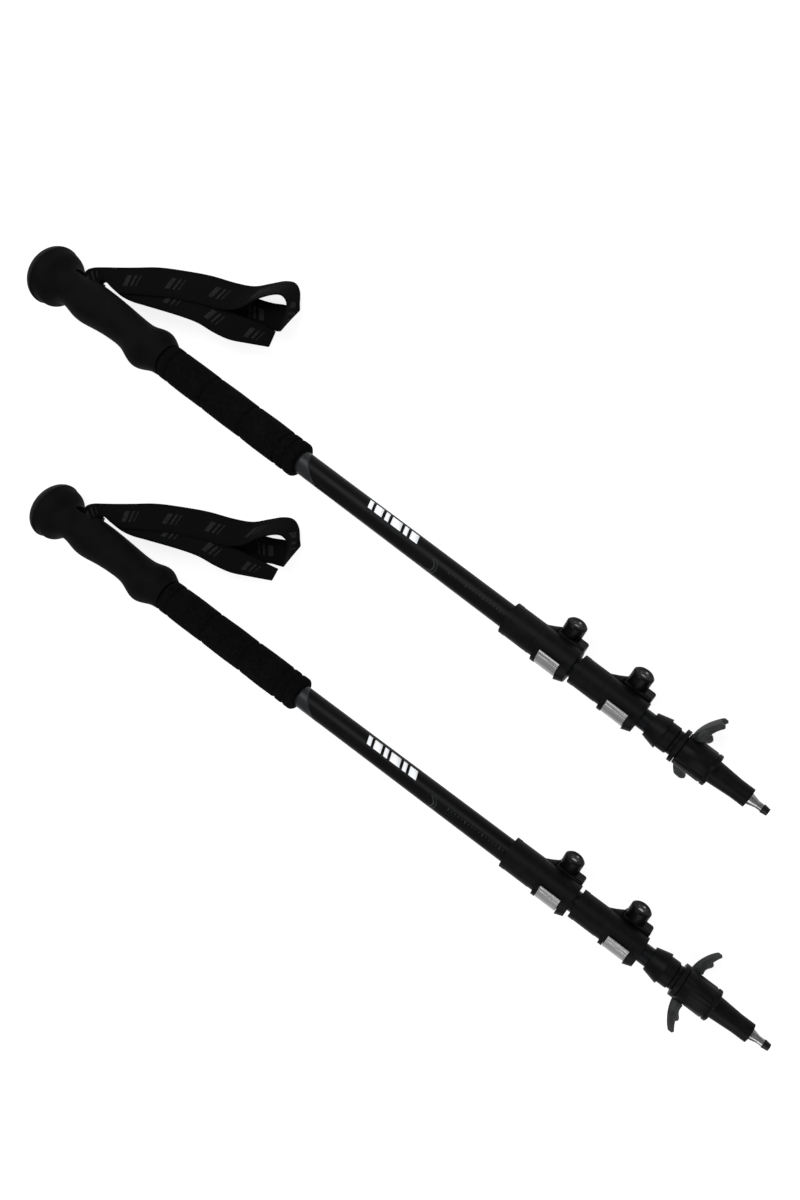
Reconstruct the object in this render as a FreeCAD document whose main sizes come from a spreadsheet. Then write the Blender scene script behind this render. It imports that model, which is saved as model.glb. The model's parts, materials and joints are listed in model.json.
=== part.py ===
import FreeCAD, Part
import math
import os
import Sketcher
from FreeCAD import Placement, Rotation, Vector

# A pair of three-section trekking poles, collapsed and lying side by side on a table.
# Each pole is drawn in its own frame: X runs along the pole from the top of the pommel to
# the tip, +Y is the side of the strap and the lock knobs, +Z is up. The finished pieces
# are then laid on the table. Millimetres.

SIZES = {
    # tubes
    "pole_long": 700.0,
    "upper_radius": 9.0,
    "middle_radius": 8.0,
    "lower_radius": 7.0,
    "wall": 0.75,
    "fit": 0.05,
    "gap": 0.3,
    "upper_top": 66.0,
    "middle_top": 90.0,
    "lower_top": 140.0,
    "lower_end": 648.0,
    "guide_rim": 4.0,
    "guide_plug": 14.0,
    "guide_bore": 4.0,
    # grip
    "pommel_radius": 25.0,
    "pommel_station": 20.0,
    "pommel_depth": 14.6,
    "cap_skin": 3.0,
    "head_core": 17.9,
    "grip_end": 155.0,
    "slot_start": 40.5,
    "slot_long": 21.0,
    "slot_floor": -14.0,
    "slot_tall": 18.0,
    "slot_back": -3.0,
    # foam sleeve
    "foam_start": 155.5,
    "foam_end": 299.0,
    "foam_radius": 13.9,
    "foam_groove": 1.6,
    "foam_groove_half": 1.8,
    "foam_round": 3.0,
    # strap and its fastening
    "strap_pin_radius": 1.5,
    "strap_pin_y": 6.5,
    "strap_pin_z": -6.0,
    "strap_pin_reach": 4.0,
    "strap_eye_radius": 3.3,
    "strap_eye_start": 42.0,
    "strap_eye_long": 18.0,
    "strap_thick": 3.6,
    "strap_slope": 11.5,
    "loop_along": 210.0,
    "loop_across": 89.0,
    "loop_long": 44.0,
    "loop_wide": 25.0,
    "loop_tall": 20.0,
    "loop_floor": -25.4,
    "loop_hole_long": 26.0,
    "loop_hole_wide": 9.0,
    "loop_turn": 22.0,
    "wedge_start": 42.5,
    "wedge_long": 17.0,
    "wedge_y": 1.0,
    "wedge_deep": 14.0,
    "wedge_z": -13.7,
    "wedge_tall": 3.0,
    # flip locks, stations from the lock's own start
    "lock_rim": 4.0,
    "lock_rim_high": 0.25,
    "lock_wall": 3.0,
    "lock_seat": 2.5,
    "band_thin": 0.3,
    "shim_wall": 0.9,
    "cheek_start": 4.2,
    "cheek_thick": 3.0,
    "cheek_out": 3.4,
    "cheek_less": 1.2,
    "lever_start": 7.7,
    "lever_long": 16.4,
    "foot_start": 24.7,
    "foot_long": 6.0,
    "foot_taper": 2.2,
    "ear_start": 7.7,
    "ear_long": 22.0,
    "ear_root": 5.0,
    "ear_out": 16.4,
    "ear_back": -10.0,
    "ear_front": 12.0,
    "ear_round": 1.8,
    "ear_split": 2.2,
    "bolt_angle": 33.0,
    "bolt_inset": 0.2,
    "bolt_radius": 1.9,
    "bolt_end": 19.6,
    "eye_radius": 3.2,
    "eye_thick": 4.0,
    "pivot_back": -17.5,
    "pivot_radius": 1.5,
    "cam_radius": 4.0,
    "cam_throw": 0.4,
    "saddle_thick": 2.8,
    "saddle_wide": 8.4,
    "saddle_long": 15.0,
    "knob_start": 12.3,
    "knob_long": 9.6,
    "knob_radius": 7.5,
    "knob_round": 1.2,
    "knob_recess": 4.2,
    "knob_recess_deep": 2.4,
    "lever_gap": 0.35,
    "lever_thick": 1.4,
    "lever_from": 116.0,
    "lever_sweep": 86.0,
    "lever_lip": 1.15,
    "lock_one_start": 494.4,
    "lock_one_collar": 24.1,
    "lock_two_start": 551.8,
    "lock_two_collar": 21.3,
    # tip
    "ferrule_start": 610.9,
    "flare_start_radius": 8.8,
    "flare_end": 621.5,
    "flare_radius": 11.5,
    "step_radius": 10.0,
    "step_end": 628.3,
    "groove_start": 629.3,
    "groove_end": 631.6,
    "groove_radius": 8.9,
    "flange_start": 632.0,
    "flange_end": 635.1,
    "flange_radius": 12.2,
    "thread_radius": 8.2,
    "cone_start": 658.0,
    "cone_end": 686.0,
    "cone_radius": 6.8,
    "cap_seat": 9.5,
    "socket_radius": 2.5,
    "socket_start": 671.0,
    "stem_radius": 2.45,
    "stem_start": 672.0,
    "stem_base_radius": 4.3,
    "stem_waist": 692.0,
    "stem_waist_radius": 2.6,
    "stem_end": 695.4,
    "crown_radius": 3.1,
    "crown_dish": 1.2,
    "crown_bevel": 0.6,
    # basket
    "hub_start": 635.4,
    "hub_end": 659.5,
    "hub_radius": 11.6,
    "dome_start": 636.0,
    "dome_mid": 638.4,
    "dome_mid_radius": 22.0,
    "rim_at": 644.8,
    "rim_radius": 31.7,
    "dome_skin": 2.6,
    "lobe_count": 12,
    "scallop_radius": 3.4,
    "scallop_centre": 32.6,
    "gap_half_angle": 96.0,
    # how the poles lie
    "pommel_apart": 173.8,
    "tip_apart": 130.8,
    "stagger": 88.0,
}

# Where the grip is cut across: station, sideways shift of the middle, radius.
GRIP_CUTS = [
    (20.3, 0.0, 24.9),
    (28.0, 0.0, 23.2),
    (33.0, 0.0, 20.2),
    (38.0, 0.6, 16.6),
    (45.0, 0.9, 15.4),
    (60.0, 0.0, 17.1),
    (80.0, 0.9, 16.5),
    (102.0, 1.3, 15.1),
    (117.0, 0.0, 15.4),
    (131.0, -1.8, 18.0),
    (143.0, 1.4, 17.4),
    (150.0, 1.2, 15.2),
    (155.0, 0.2, 13.7),
]

# Stations of the sewn-looking grooves around the foam.
FOAM_GROOVES = [165.5, 204.0, 245.0, 281.5, 290.0]

# The strap seen from above, from the pin round to the pin again: along, across.
STRAP_OUTLINE = [
    (42.0, 8.0),
    (60.0, 8.0),
    (60.5, 20.5),
    (80.0, 21.5),
    (112.0, 27.0),
    (160.0, 39.5),
    (191.0, 44.0),
    (223.0, 59.0),
    (223.0, 68.0),
    (205.0, 78.0),
    (187.0, 83.5),
    (160.0, 77.5),
    (120.0, 62.5),
    (69.0, 35.5),
    (47.5, 23.0),
    (42.0, 19.5),
]

LEFT = {"side": "left", "across": 1.0, "gap": 120.0, "roll": -20.0}
RIGHT = {"side": "right", "across": -1.0, "gap": 60.0, "roll": -27.0}

doc = FreeCAD.newDocument("TrekkingPoles")
sheet = doc.addObject("Spreadsheet::Sheet", "dims")


def fill_sheet():
    for number, (station, shift, radius) in enumerate(GRIP_CUTS):
        SIZES[f"cut_{number}_station"] = station
        SIZES[f"cut_{number}_shift"] = shift
        SIZES[f"cut_{number}_radius"] = radius
    for number, station in enumerate(FOAM_GROOVES):
        SIZES[f"groove_{number}_station"] = station
    for number, (along, across) in enumerate(STRAP_OUTLINE):
        SIZES[f"strap_{number}_along"] = along
        SIZES[f"strap_{number}_across"] = across
    for row, (alias, value) in enumerate(SIZES.items(), start=1):
        sheet.set(f"A{row}", alias)
        sheet.set(f"B{row}", str(value))
        sheet.setAlias(f"B{row}", alias)
    doc.recompute()


def amount(words):
    """The value of a sum such as 'foam_end - foam_round'."""
    total = 0.0
    sign = 1.0
    for word in words.split():
        if word in "+-":
            sign = 1.0 if word == "+" else -1.0
        else:
            total += sign * SIZES[word]
    return total


def bound(words):
    """The same sum as an expression on the spreadsheet."""
    return " ".join(word if word in "+-" else f"dims.{word}" for word in words.split())


def tie(thing, **sizes):
    for size, words in sizes.items():
        thing.setExpression(size, bound(words))


def along_x(turn=0.0):
    """Turns a primitive's own Z axis onto the pole, starting `turn` degrees round it."""
    return Rotation(Vector(1, 0, 0), turn) * Rotation(Vector(0, 1, 0), 90)


def place(thing, station, y=0.0, z=0.0, rotation=None):
    thing.Placement = Placement(Vector(amount(station), y, z), rotation or along_x())
    thing.setExpression("Placement.Base.x", bound(station))
    return thing


def cylinder(name, radius, station, long, y=0.0, z=0.0):
    rod = doc.addObject("Part::Cylinder", name)
    tie(rod, Radius=radius, Height=long)
    return place(rod, station, y, z)


def box(name, long, wide, tall):
    block = doc.addObject("Part::Box", name)
    tie(block, Length=long, Width=wide, Height=tall)
    return block


def fused(name, pieces):
    union = doc.addObject("Part::MultiFuse", name)
    union.Shapes = pieces
    return union


def joined(name, pieces):
    """Joins the pieces one after another."""
    whole = pieces[0]
    for number, piece in enumerate(pieces[1:]):
        union = doc.addObject("Part::Fuse", f"{name}_{number}")
        union.Base = whole
        union.Tool = piece
        whole = union
    return whole


def cut(name, base, tools):
    result = doc.addObject("Part::Cut", name)
    result.Base = base
    result.Tool = tools[0] if len(tools) == 1 else fused(name + "_tools", tools)
    return result


def sketch_on(body, role, name, outline):
    """A closed outline, each corner held by two distances bound to the spreadsheet."""
    sketch = body.newObject("Sketcher::SketchObject", name)
    plane = [item for item in body.Origin.OriginFeatures if item.Role == role][0]
    sketch.AttachmentSupport = (plane, [""])
    sketch.MapMode = "FlatFace"
    corners = [Vector(amount(x), amount(y) if y else 0.0, 0) for x, y in outline]
    count = len(corners)
    for number in range(count):
        line = Part.LineSegment(corners[number], corners[(number + 1) % count])
        sketch.addGeometry(line, False)
    for number in range(count):
        sketch.addConstraint(Sketcher.Constraint("Coincident", number, 2, (number + 1) % count, 1))
    for number, (x, y) in enumerate(outline):
        held = sketch.addConstraint(Sketcher.Constraint("DistanceX", -1, 1, number, 1, corners[number].x))
        sketch.setExpression(f"Constraints[{held}]", bound(x))
        if y:
            held = sketch.addConstraint(Sketcher.Constraint("DistanceY", -1, 1, number, 1, corners[number].y))
            sketch.setExpression(f"Constraints[{held}]", bound(y))
        else:
            sketch.addConstraint(Sketcher.Constraint("PointOnObject", number, 1, -1))
    return sketch


def turned(name, outline):
    """A piece turned about the pole's axis from (station, radius) corners."""
    body = doc.addObject("PartDesign::Body", name)
    sketch = sketch_on(body, "XY_Plane", name + "_section", outline)
    revolution = body.newObject("PartDesign::Revolution", name + "_turning")
    revolution.Profile = sketch
    revolution.ReferenceAxis = (sketch, ["H_Axis"])
    revolution.Angle = 360
    return body


def tube(name, radius, start, end):
    bore = f"{radius} - wall"
    return turned(name, [(start, bore), (start, radius), (end, radius), (end, bore)])


def guide(name, outer, inner, top):
    """The plastic plug in a tube's top end, with a rim that slides in the next tube."""
    rim = f"{outer} - wall - fit"
    plug = f"{inner} - wall - fit"
    return turned(name, [
        (f"{top} - guide_rim", "guide_bore"),
        (f"{top} - guide_rim", rim),
        (top, rim),
        (top, plug),
        (f"{top} + guide_plug", plug),
        (f"{top} + guide_plug", "guide_bore"),
    ])


def half_ellipsoid(name, depth, radius):
    """The dome of the pommel, its top towards -X."""
    dome = doc.addObject("Part::Ellipsoid", name)
    tie(dome, Radius1=depth, Radius2=radius, Radius3=radius)
    dome.Angle1 = 0
    dome.Angle2 = 90
    return place(dome, "pommel_station", rotation=Rotation(Vector(0, 1, 0), -90))


def make_grip(side):
    cuts = []
    for number in range(len(GRIP_CUTS)):
        circle = doc.addObject("Part::Circle", f"{side}_grip_cut_{number}")
        tie(circle, Radius=f"cut_{number}_radius")
        place(circle, f"cut_{number}_station")
        circle.setExpression("Placement.Base.y", bound(f"cut_{number}_shift"))
        cuts.append(circle)
    handle = doc.addObject("Part::Loft", f"{side}_grip_loft")
    handle.Sections = cuts
    handle.Solid = True
    core = half_ellipsoid(f"{side}_head_core", "pommel_depth - cap_skin - fit",
                          "pommel_radius - cap_skin - fit")
    joiner = cylinder(f"{side}_head_joiner", "head_core", "pommel_station - fit", "cap_skin")
    bore = cylinder(f"{side}_grip_bore", "upper_radius + fit", "upper_top - fit", "grip_end")
    slot = box(f"{side}_strap_slot", "slot_long", "pommel_radius + slot_start", "slot_tall")
    place(slot, "slot_start", SIZES["slot_back"], SIZES["slot_floor"], Rotation())
    pin_bore = cylinder(f"{side}_strap_pin_bore", "strap_pin_radius + fit",
                        "slot_start - strap_pin_reach - fit",
                        "slot_long + strap_pin_reach + strap_pin_reach + fit + fit",
                        SIZES["strap_pin_y"], SIZES["strap_pin_z"])
    solid = fused(f"{side}_grip_solid", [handle, core, joiner])
    return cut(f"{side}_grip_body", solid, [bore, slot, pin_bore])


def make_grip_cap(side):
    outer = half_ellipsoid(f"{side}_cap_outer", "pommel_depth", "pommel_radius")
    inner = half_ellipsoid(f"{side}_cap_inner", "pommel_depth - cap_skin", "pommel_radius - cap_skin")
    return cut(f"{side}_grip_cap", outer, [inner])


def make_foam(side):
    bore = "upper_radius + fit"
    outline = [("foam_start", bore), ("foam_start", "foam_radius")]
    for number in range(len(FOAM_GROOVES)):
        station = f"groove_{number}_station"
        outline.append((f"{station} - foam_groove_half", "foam_radius"))
        outline.append((station, "foam_radius - foam_groove"))
        outline.append((f"{station} + foam_groove_half", "foam_radius"))
    outline.append(("foam_end - foam_round", "foam_radius"))
    outline.append(("foam_end", "foam_radius - foam_round"))
    outline.append(("foam_end", bore))
    return turned(f"{side}_foam_sleeve", outline)


def make_strap_pin(side):
    return cylinder(f"{side}_strap_pin", "strap_pin_radius", "slot_start - strap_pin_reach",
                    "slot_long + strap_pin_reach + strap_pin_reach",
                    SIZES["strap_pin_y"], SIZES["strap_pin_z"])


def make_strap(side):
    """Two bands of webbing from the pin out to a folded loop that stands on edge."""
    band = doc.addObject("PartDesign::Body", f"{side}_strap_band")
    outline = [(f"strap_{number}_along", f"strap_{number}_across") for number in range(len(STRAP_OUTLINE))]
    sketch = sketch_on(band, "XY_Plane", f"{side}_strap_outline", outline)
    pad = band.newObject("PartDesign::Pad", f"{side}_strap_pad")
    pad.Profile = sketch
    pad.Midplane = True
    pad.setExpression("Length", bound("strap_thick"))
    pin = Vector(0, SIZES["strap_pin_y"], SIZES["strap_pin_z"])
    tilt = Rotation(Vector(1, 0, 0), -SIZES["strap_slope"])
    band.Placement = Placement(pin - tilt.multVec(Vector(0, SIZES["strap_pin_y"], 0)), tilt)
    eye = cylinder(f"{side}_strap_eye", "strap_eye_radius", "strap_eye_start", "strap_eye_long", pin.y, pin.z)
    hole = cylinder(f"{side}_strap_eye_hole", "strap_pin_radius + fit", "slot_start", "slot_long", pin.y, pin.z)
    turn = Rotation(Vector(0, 0, 1), SIZES["loop_turn"])
    middle = Vector(SIZES["loop_along"], SIZES["loop_across"], SIZES["loop_floor"])

    def loop_block(name, long, wide):
        block = box(f"{side}_{name}", long, wide, "loop_tall")
        corner = Vector(-amount(long) / 2, -amount(wide) / 2, 0)
        block.Placement = Placement(middle + turn.multVec(corner), turn)
        return block

    fold = loop_block("strap_fold", "loop_long", "loop_wide")
    inside = loop_block("strap_fold_inside", "loop_hole_long", "loop_hole_wide")
    solid = fused(f"{side}_strap_solid", [band, eye, fold])
    return cut(f"{side}_strap", solid, [hole, inside])


def make_wedge(side):
    wedge = box(f"{side}_strap_wedge", "wedge_long", "wedge_deep", "wedge_tall")
    return place(wedge, "wedge_start", SIZES["wedge_y"], SIZES["wedge_z"], Rotation())


class Lock:
    """A flip lock: its stations and the directions of its bolt across the pole."""

    def __init__(self, side, name, outer, inner, roll):
        self.name = f"{side}_{name}_lock"
        self.start = f"lock_{name}_start"
        self.collar = f"lock_{name}_start + lock_{name}_collar"
        self.roll = Placement(Vector(), Rotation(Vector(1, 0, 0), roll))
        self.outer = outer
        self.inner = inner
        self.radius = f"{outer} + lock_wall"
        angle = math.radians(SIZES["bolt_angle"])
        self.bolt = Vector(0, math.cos(angle), math.sin(angle))
        self.out = Vector(0, math.sin(angle), -math.cos(angle))
        self.turn = Rotation(Vector(1, 0, 0), SIZES["bolt_angle"])
        self.offset = amount(f"{self.radius} - bolt_inset")
        self.bolt_at = amount(f"{self.collar} + lever_start") + SIZES["lever_long"] / 2

    def at(self, along, out=None):
        """The point `along` the bolt, and `out` from the axis: the bolt's own by default."""
        out = self.offset if out is None else out
        return self.bolt * along + self.out * out

    def block(self, name, long, wide, tall, start, along, out):
        """A box square to the bolt, its low corner at (start, along, out)."""
        piece = box(f"{self.name}_{name}", long, wide, tall)
        corner = self.at(along, out)
        piece.Placement = Placement(Vector(start, corner.y, corner.z), self.turn)
        return piece

    def bolt_rod(self, name, radius, long, along):
        """A cylinder on the bolt's line, starting `along` it."""
        rod = doc.addObject("Part::Cylinder", f"{self.name}_{name}")
        tie(rod, Radius=radius, Height=long)
        foot = self.at(along)
        rod.Placement = Placement(Vector(self.bolt_at, foot.y, foot.z), Rotation(Vector(0, 0, 1), self.bolt))
        return rod

    def cross_rod(self, name, radius, long, along, middle=None):
        """A cylinder across the bolt, centred on its station, at `along` the bolt."""
        rod = doc.addObject("Part::Cylinder", f"{self.name}_{name}")
        tie(rod, Radius=radius, Height=long)
        foot = self.at(along)
        rod.Placement = Placement(Vector(self.bolt_at - amount(long) / 2, foot.y, foot.z), along_x())
        return rod

    def make_clamp(self):
        end = f"{self.collar} + foot_start + foot_long"
        seat = f"{self.collar} + lock_seat"
        shim = f"{self.inner} + fit + shim_wall + fit"
        barrel = turned(f"{self.name}_barrel", [
            (self.start, ""),
            (self.start, f"{self.radius} + lock_rim_high"),
            (f"{self.start} + lock_rim", f"{self.radius} + lock_rim_high"),
            (f"{self.start} + lock_rim + gap", self.radius),
            (self.collar, self.radius),
            (f"{self.collar} + gap", f"{self.radius} - band_thin"),
            (end, f"{self.radius} - band_thin"),
            (end, ""),
        ])
        cheek = cylinder(f"{self.name}_cheek", f"{self.radius} - cheek_less", f"{self.collar} + cheek_start",
                         "cheek_thick", -SIZES["cheek_out"])
        foot = doc.addObject("Part::Cone", f"{self.name}_foot")
        tie(foot, Radius1=self.radius, Radius2=f"{self.radius} - foot_taper", Height="foot_long")
        place(foot, f"{self.collar} + foot_start", -SIZES["cheek_out"])
        ears = self.block("ears_block", "ear_long", "ear_front - ear_back", "ear_out - ear_root",
                          amount(f"{self.collar} + ear_start"), SIZES["ear_back"], SIZES["ear_out"])
        rounded = doc.addObject("Part::Fillet", f"{self.name}_ears")
        rounded.Base = ears
        rounded.Edges = [(edge, SIZES["ear_round"], SIZES["ear_round"]) for edge in range(1, 13)]
        solid = joined(f"{self.name}_clamp_solid", [barrel, cheek, foot, rounded])
        socket = cylinder(f"{self.name}_socket", f"{self.outer} + fit", f"{self.start} - gap",
                          f"{self.collar} - {self.start} + lock_seat + gap")
        through = cylinder(f"{self.name}_shim_bore", shim, self.start, "foot_start + foot_long + pommel_radius")
        split = self.block("split", "foot_start + foot_long", "ear_split", "ear_out + gap",
                           amount(seat), -SIZES["ear_split"] / 2, SIZES["ear_out"] + SIZES["gap"])
        bolt_bore = self.bolt_rod("bolt_bore", "bolt_radius + fit", "ear_front - ear_back + gap + gap",
                                  SIZES["ear_back"] - SIZES["gap"])
        return cut(f"{self.name}_clamp", solid, [socket, through, split, bolt_bore])

    def make_shim(self):
        """The split plastic sleeve that the clamp squeezes onto the inner tube."""
        start = f"{self.collar} + lock_seat + fit"
        end = f"{self.collar} + foot_start + foot_long - fit"
        sleeve = turned(f"{self.name}_shim_sleeve", [
            (start, f"{self.inner} + fit"),
            (start, f"{self.inner} + fit + shim_wall"),
            (end, f"{self.inner} + fit + shim_wall"),
            (end, f"{self.inner} + fit"),
        ])
        split = self.block("shim_split", "foot_start + foot_long", "ear_split", "ear_out",
                           amount(start) - SIZES["gap"], -SIZES["ear_split"] / 2, SIZES["ear_out"])
        return cut(f"{self.name}_shim", sleeve, [split])

    def make_eye_bolt(self):
        rod = self.bolt_rod("bolt_rod", "bolt_radius", "bolt_end - pivot_back", SIZES["pivot_back"])
        eye = self.cross_rod("bolt_eye", "eye_radius", "eye_thick", SIZES["pivot_back"])
        hole = self.cross_rod("bolt_eye_hole", "pivot_radius + fit", "lever_long", SIZES["pivot_back"])
        return cut(f"{self.name}_eye_bolt", fused(f"{self.name}_bolt_solid", [rod, eye]), [hole])

    def make_pivot_pin(self):
        return self.cross_rod("pivot_pin", "pivot_radius", "lever_long", SIZES["pivot_back"])

    def make_saddle(self):
        """The hard plate that the cam bears on."""
        low = SIZES["ear_back"] - SIZES["saddle_thick"] - SIZES["fit"]
        plate = self.block("saddle_plate", "saddle_long", "saddle_thick", "saddle_wide",
                           self.bolt_at - SIZES["saddle_long"] / 2, low,
                           self.offset + SIZES["saddle_wide"] / 2)
        hole = self.bolt_rod("saddle_hole", "bolt_radius + fit", "saddle_thick + gap + gap", low - SIZES["gap"])
        return cut(f"{self.name}_cam_saddle", plate, [hole])

    def make_knob(self):
        """The adjusting nut: turned about its own axis, then stood on the bolt."""
        body = turned(f"{self.name}_knob", [
            ("gap", "bolt_radius + fit"),
            ("gap", "knob_radius"),
            ("knob_long - knob_round", "knob_radius"),
            ("knob_long", "knob_radius - knob_round"),
            ("knob_long", "knob_recess"),
            ("knob_long - knob_recess_deep", "knob_recess"),
            ("knob_long - knob_recess_deep", "bolt_radius + fit"),
        ])
        foot = self.at(SIZES["knob_start"])
        stand = Rotation(Vector(1, 0, 0), self.bolt)
        body.Placement = Placement(Vector(self.bolt_at, foot.y, foot.z), stand)
        return body

    def make_lever(self):
        """A bent plate round the clamp, with a lip to lift it by and a cam at its pivot."""
        start = f"{self.collar} + lever_start"
        inside = amount(f"{self.radius} + lever_gap")
        shell_outer = doc.addObject("Part::Cylinder", f"{self.name}_shell_outer")
        tie(shell_outer, Radius=f"{self.radius} + lever_gap + lever_thick", Height="lever_long",
            Angle="lever_sweep")
        place(shell_outer, start, rotation=along_x(SIZES["lever_from"] + 90))
        shell_inner = cylinder(f"{self.name}_shell_inner", f"{self.radius} + lever_gap", start, "lever_long")
        shell = cut(f"{self.name}_shell", shell_outer, [shell_inner])
        pivot = self.at(SIZES["pivot_back"])
        low_angle = math.radians(SIZES["lever_from"] + SIZES["lever_sweep"])
        shell_foot = Vector(0, math.cos(low_angle), math.sin(low_angle)) * inside
        run = Vector(0, pivot.y - SIZES["cam_radius"] + SIZES["lever_thick"], pivot.z) - shell_foot
        lean = Rotation(Vector(0, 0, -1), run)
        arm = doc.addObject("Part::Box", f"{self.name}_arm")
        tie(arm, Length="lever_long", Width="lever_thick")
        arm.Height = run.Length
        inner_corner = Vector(amount(start), shell_foot.y, shell_foot.z)
        arm.Placement = Placement(inner_corner + lean.multVec(Vector(0, -SIZES["lever_thick"], -run.Length)), lean)
        lip_angle = math.radians(SIZES["lever_from"])
        reach = inside + SIZES["lever_thick"] / 2 + SIZES["gap"]
        lip = cylinder(f"{self.name}_lip", "lever_lip", start, "lever_long",
                       math.cos(lip_angle) * reach, math.sin(lip_angle) * reach)
        cam = self.cross_rod("cam", "cam_radius", "lever_long", SIZES["pivot_back"] + SIZES["cam_throw"])
        solid = fused(f"{self.name}_lever_solid", [shell, arm, lip, cam])
        hole = self.cross_rod("lever_pin_hole", "pivot_radius + fit", "lever_long", SIZES["pivot_back"])
        fork = self.cross_rod("lever_fork", "cam_radius + cam_throw + gap", "eye_thick + gap + gap",
                              SIZES["pivot_back"])
        swing = doc.addObject("Part::Box", f"{self.name}_lever_swing")
        tie(swing, Length="eye_thick + gap + gap", Width="cam_radius + gap + gap + gap", Height="cam_radius")
        swing.Placement = Placement(Vector(self.bolt_at - amount("eye_thick + gap + gap") / 2, pivot.y, pivot.z),
                                    self.turn)
        return cut(f"{self.name}_lever", solid, [hole, fork, swing])

    def make_all(self):
        """Every piece of the lock, turned together round the pole."""
        pieces = [self.make_clamp(), self.make_shim(), self.make_eye_bolt(), self.make_pivot_pin(),
                  self.make_saddle(), self.make_knob(), self.make_lever()]
        for piece in pieces:
            piece.Placement = self.roll.multiply(piece.Placement)
        return pieces


def make_ferrule(side):
    return turned(f"{side}_ferrule", [
        ("ferrule_start", "lower_radius + fit"),
        ("ferrule_start", "flare_start_radius"),
        ("flare_end", "flare_radius"),
        ("flare_end + fit", "step_radius"),
        ("step_end", "step_radius"),
        ("groove_start", "groove_radius"),
        ("groove_end", "groove_radius"),
        ("flange_start", "flange_radius"),
        ("flange_end", "flange_radius"),
        ("flange_end + fit", "thread_radius"),
        ("cone_start", "thread_radius"),
        ("cone_end - cap_seat", "cone_radius"),
        ("cone_end", "cone_radius"),
        ("cone_end", "socket_radius"),
        ("socket_start", "socket_radius"),
        ("socket_start", ""),
        ("lower_end + gap", ""),
        ("lower_end + gap", "lower_radius + fit"),
    ])


def make_basket(side, gap_angle):
    """A screwed hub with half a scalloped dome that leans towards the tip."""
    dome = turned(f"{side}_basket_dome", [
        ("dome_start", "hub_radius - fit"),
        ("dome_start", "hub_radius"),
        ("dome_mid", "dome_mid_radius"),
        ("rim_at", "rim_radius"),
        ("rim_at + dome_skin", "rim_radius - fit"),
        ("dome_mid + dome_skin", "dome_mid_radius - gap"),
        ("dome_start + dome_skin + dome_skin", "hub_radius"),
        ("dome_start + dome_skin + dome_skin", "hub_radius - fit"),
    ])
    tools = []
    for number in range(int(SIZES["lobe_count"])):
        angle = math.radians(gap_angle + 360.0 * number / SIZES["lobe_count"])
        scallop = cylinder(f"{side}_scallop_{number}", "scallop_radius", "dome_mid", "hub_end - dome_mid",
                           math.cos(angle) * SIZES["scallop_centre"], math.sin(angle) * SIZES["scallop_centre"])
        tools.append(scallop)
    reach = SIZES["rim_radius"] + SIZES["gap"]
    for edge, drop in ((1, -reach), (-1, 0.0)):
        turn = Rotation(Vector(1, 0, 0), gap_angle + edge * SIZES["gap_half_angle"])
        gate = box(f"{side}_basket_gate_{edge + 1}", "hub_end - hub_start", "rim_radius + rim_radius + gap + gap",
                   "rim_radius + gap")
        corner = turn.multVec(Vector(0, -reach, drop))
        tools.append(place(gate, "hub_start", corner.y, corner.z, turn))
    half = cut(f"{side}_basket_half", dome, tools)
    hub = cylinder(f"{side}_basket_hub", "hub_radius", "hub_start", "hub_end - hub_start")
    bore = cylinder(f"{side}_basket_bore", "thread_radius + fit", "hub_start - gap", "hub_end - hub_start + gap + gap")
    return cut(f"{side}_basket", joined(f"{side}_basket_solid", [hub, half]), [bore])


def make_tip(side):
    stem = turned(f"{side}_tip_stem", [
        ("stem_start", ""),
        ("stem_start", "stem_radius"),
        ("cone_end + fit", "stem_radius"),
        ("cone_end + fit", "stem_base_radius"),
        ("stem_waist", "stem_waist_radius"),
        ("stem_end", "stem_waist_radius"),
        ("stem_end", ""),
    ])
    carbide = turned(f"{side}_carbide_tip", [
        ("stem_end + fit", ""),
        ("stem_end + fit", "stem_waist_radius"),
        ("stem_end + crown_bevel", "crown_radius"),
        ("pole_long", "crown_radius - crown_bevel"),
        ("pole_long - crown_dish", ""),
    ])
    return [stem, carbide]


def make_pole(side, gap_angle, roll):
    lock_one = Lock(side, "one", "upper_radius", "middle_radius", roll)
    lock_two = Lock(side, "two", "middle_radius", "lower_radius", roll)
    pieces = [make_grip(side), make_grip_cap(side), make_foam(side)]
    pieces += [make_strap_pin(side), make_strap(side), make_wedge(side)]
    pieces.append(tube(f"{side}_upper_tube", "upper_radius", "upper_top",
                       "lock_one_start + lock_one_collar + lock_seat - fit"))
    pieces.append(tube(f"{side}_middle_tube", "middle_radius", "middle_top",
                       "lock_two_start + lock_two_collar + lock_seat - fit"))
    pieces.append(tube(f"{side}_lower_tube", "lower_radius", "lower_top", "lower_end"))
    pieces.append(guide(f"{side}_middle_guide", "upper_radius", "middle_radius", "middle_top"))
    pieces.append(guide(f"{side}_lower_guide", "middle_radius", "lower_radius", "lower_top"))
    pieces += lock_one.make_all() + lock_two.make_all()
    pieces += [make_ferrule(side), make_basket(side, gap_angle)] + make_tip(side)
    return pieces


def resting_frame(across):
    """Where a pole lies: splayed from its neighbour, on its pommel and two basket lobes."""
    half_lobe = math.pi / SIZES["lobe_count"]
    basket_height = SIZES["rim_radius"] * math.cos(half_lobe)
    run = SIZES["rim_at"] - SIZES["pommel_station"]
    pitch = math.asin((basket_height - SIZES["pommel_radius"]) / run)
    yaw = -across * math.asin((SIZES["pommel_apart"] - SIZES["tip_apart"]) / 2 / SIZES["pole_long"])
    turn = Rotation(Vector(0, 0, 1), math.degrees(yaw)) * Rotation(Vector(0, 1, 0), -math.degrees(pitch))
    height = SIZES["pommel_radius"] - SIZES["pommel_station"] * math.sin(pitch)
    return Placement(Vector(-across * SIZES["stagger"] / 2, across * SIZES["pommel_apart"] / 2, height), turn)


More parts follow.
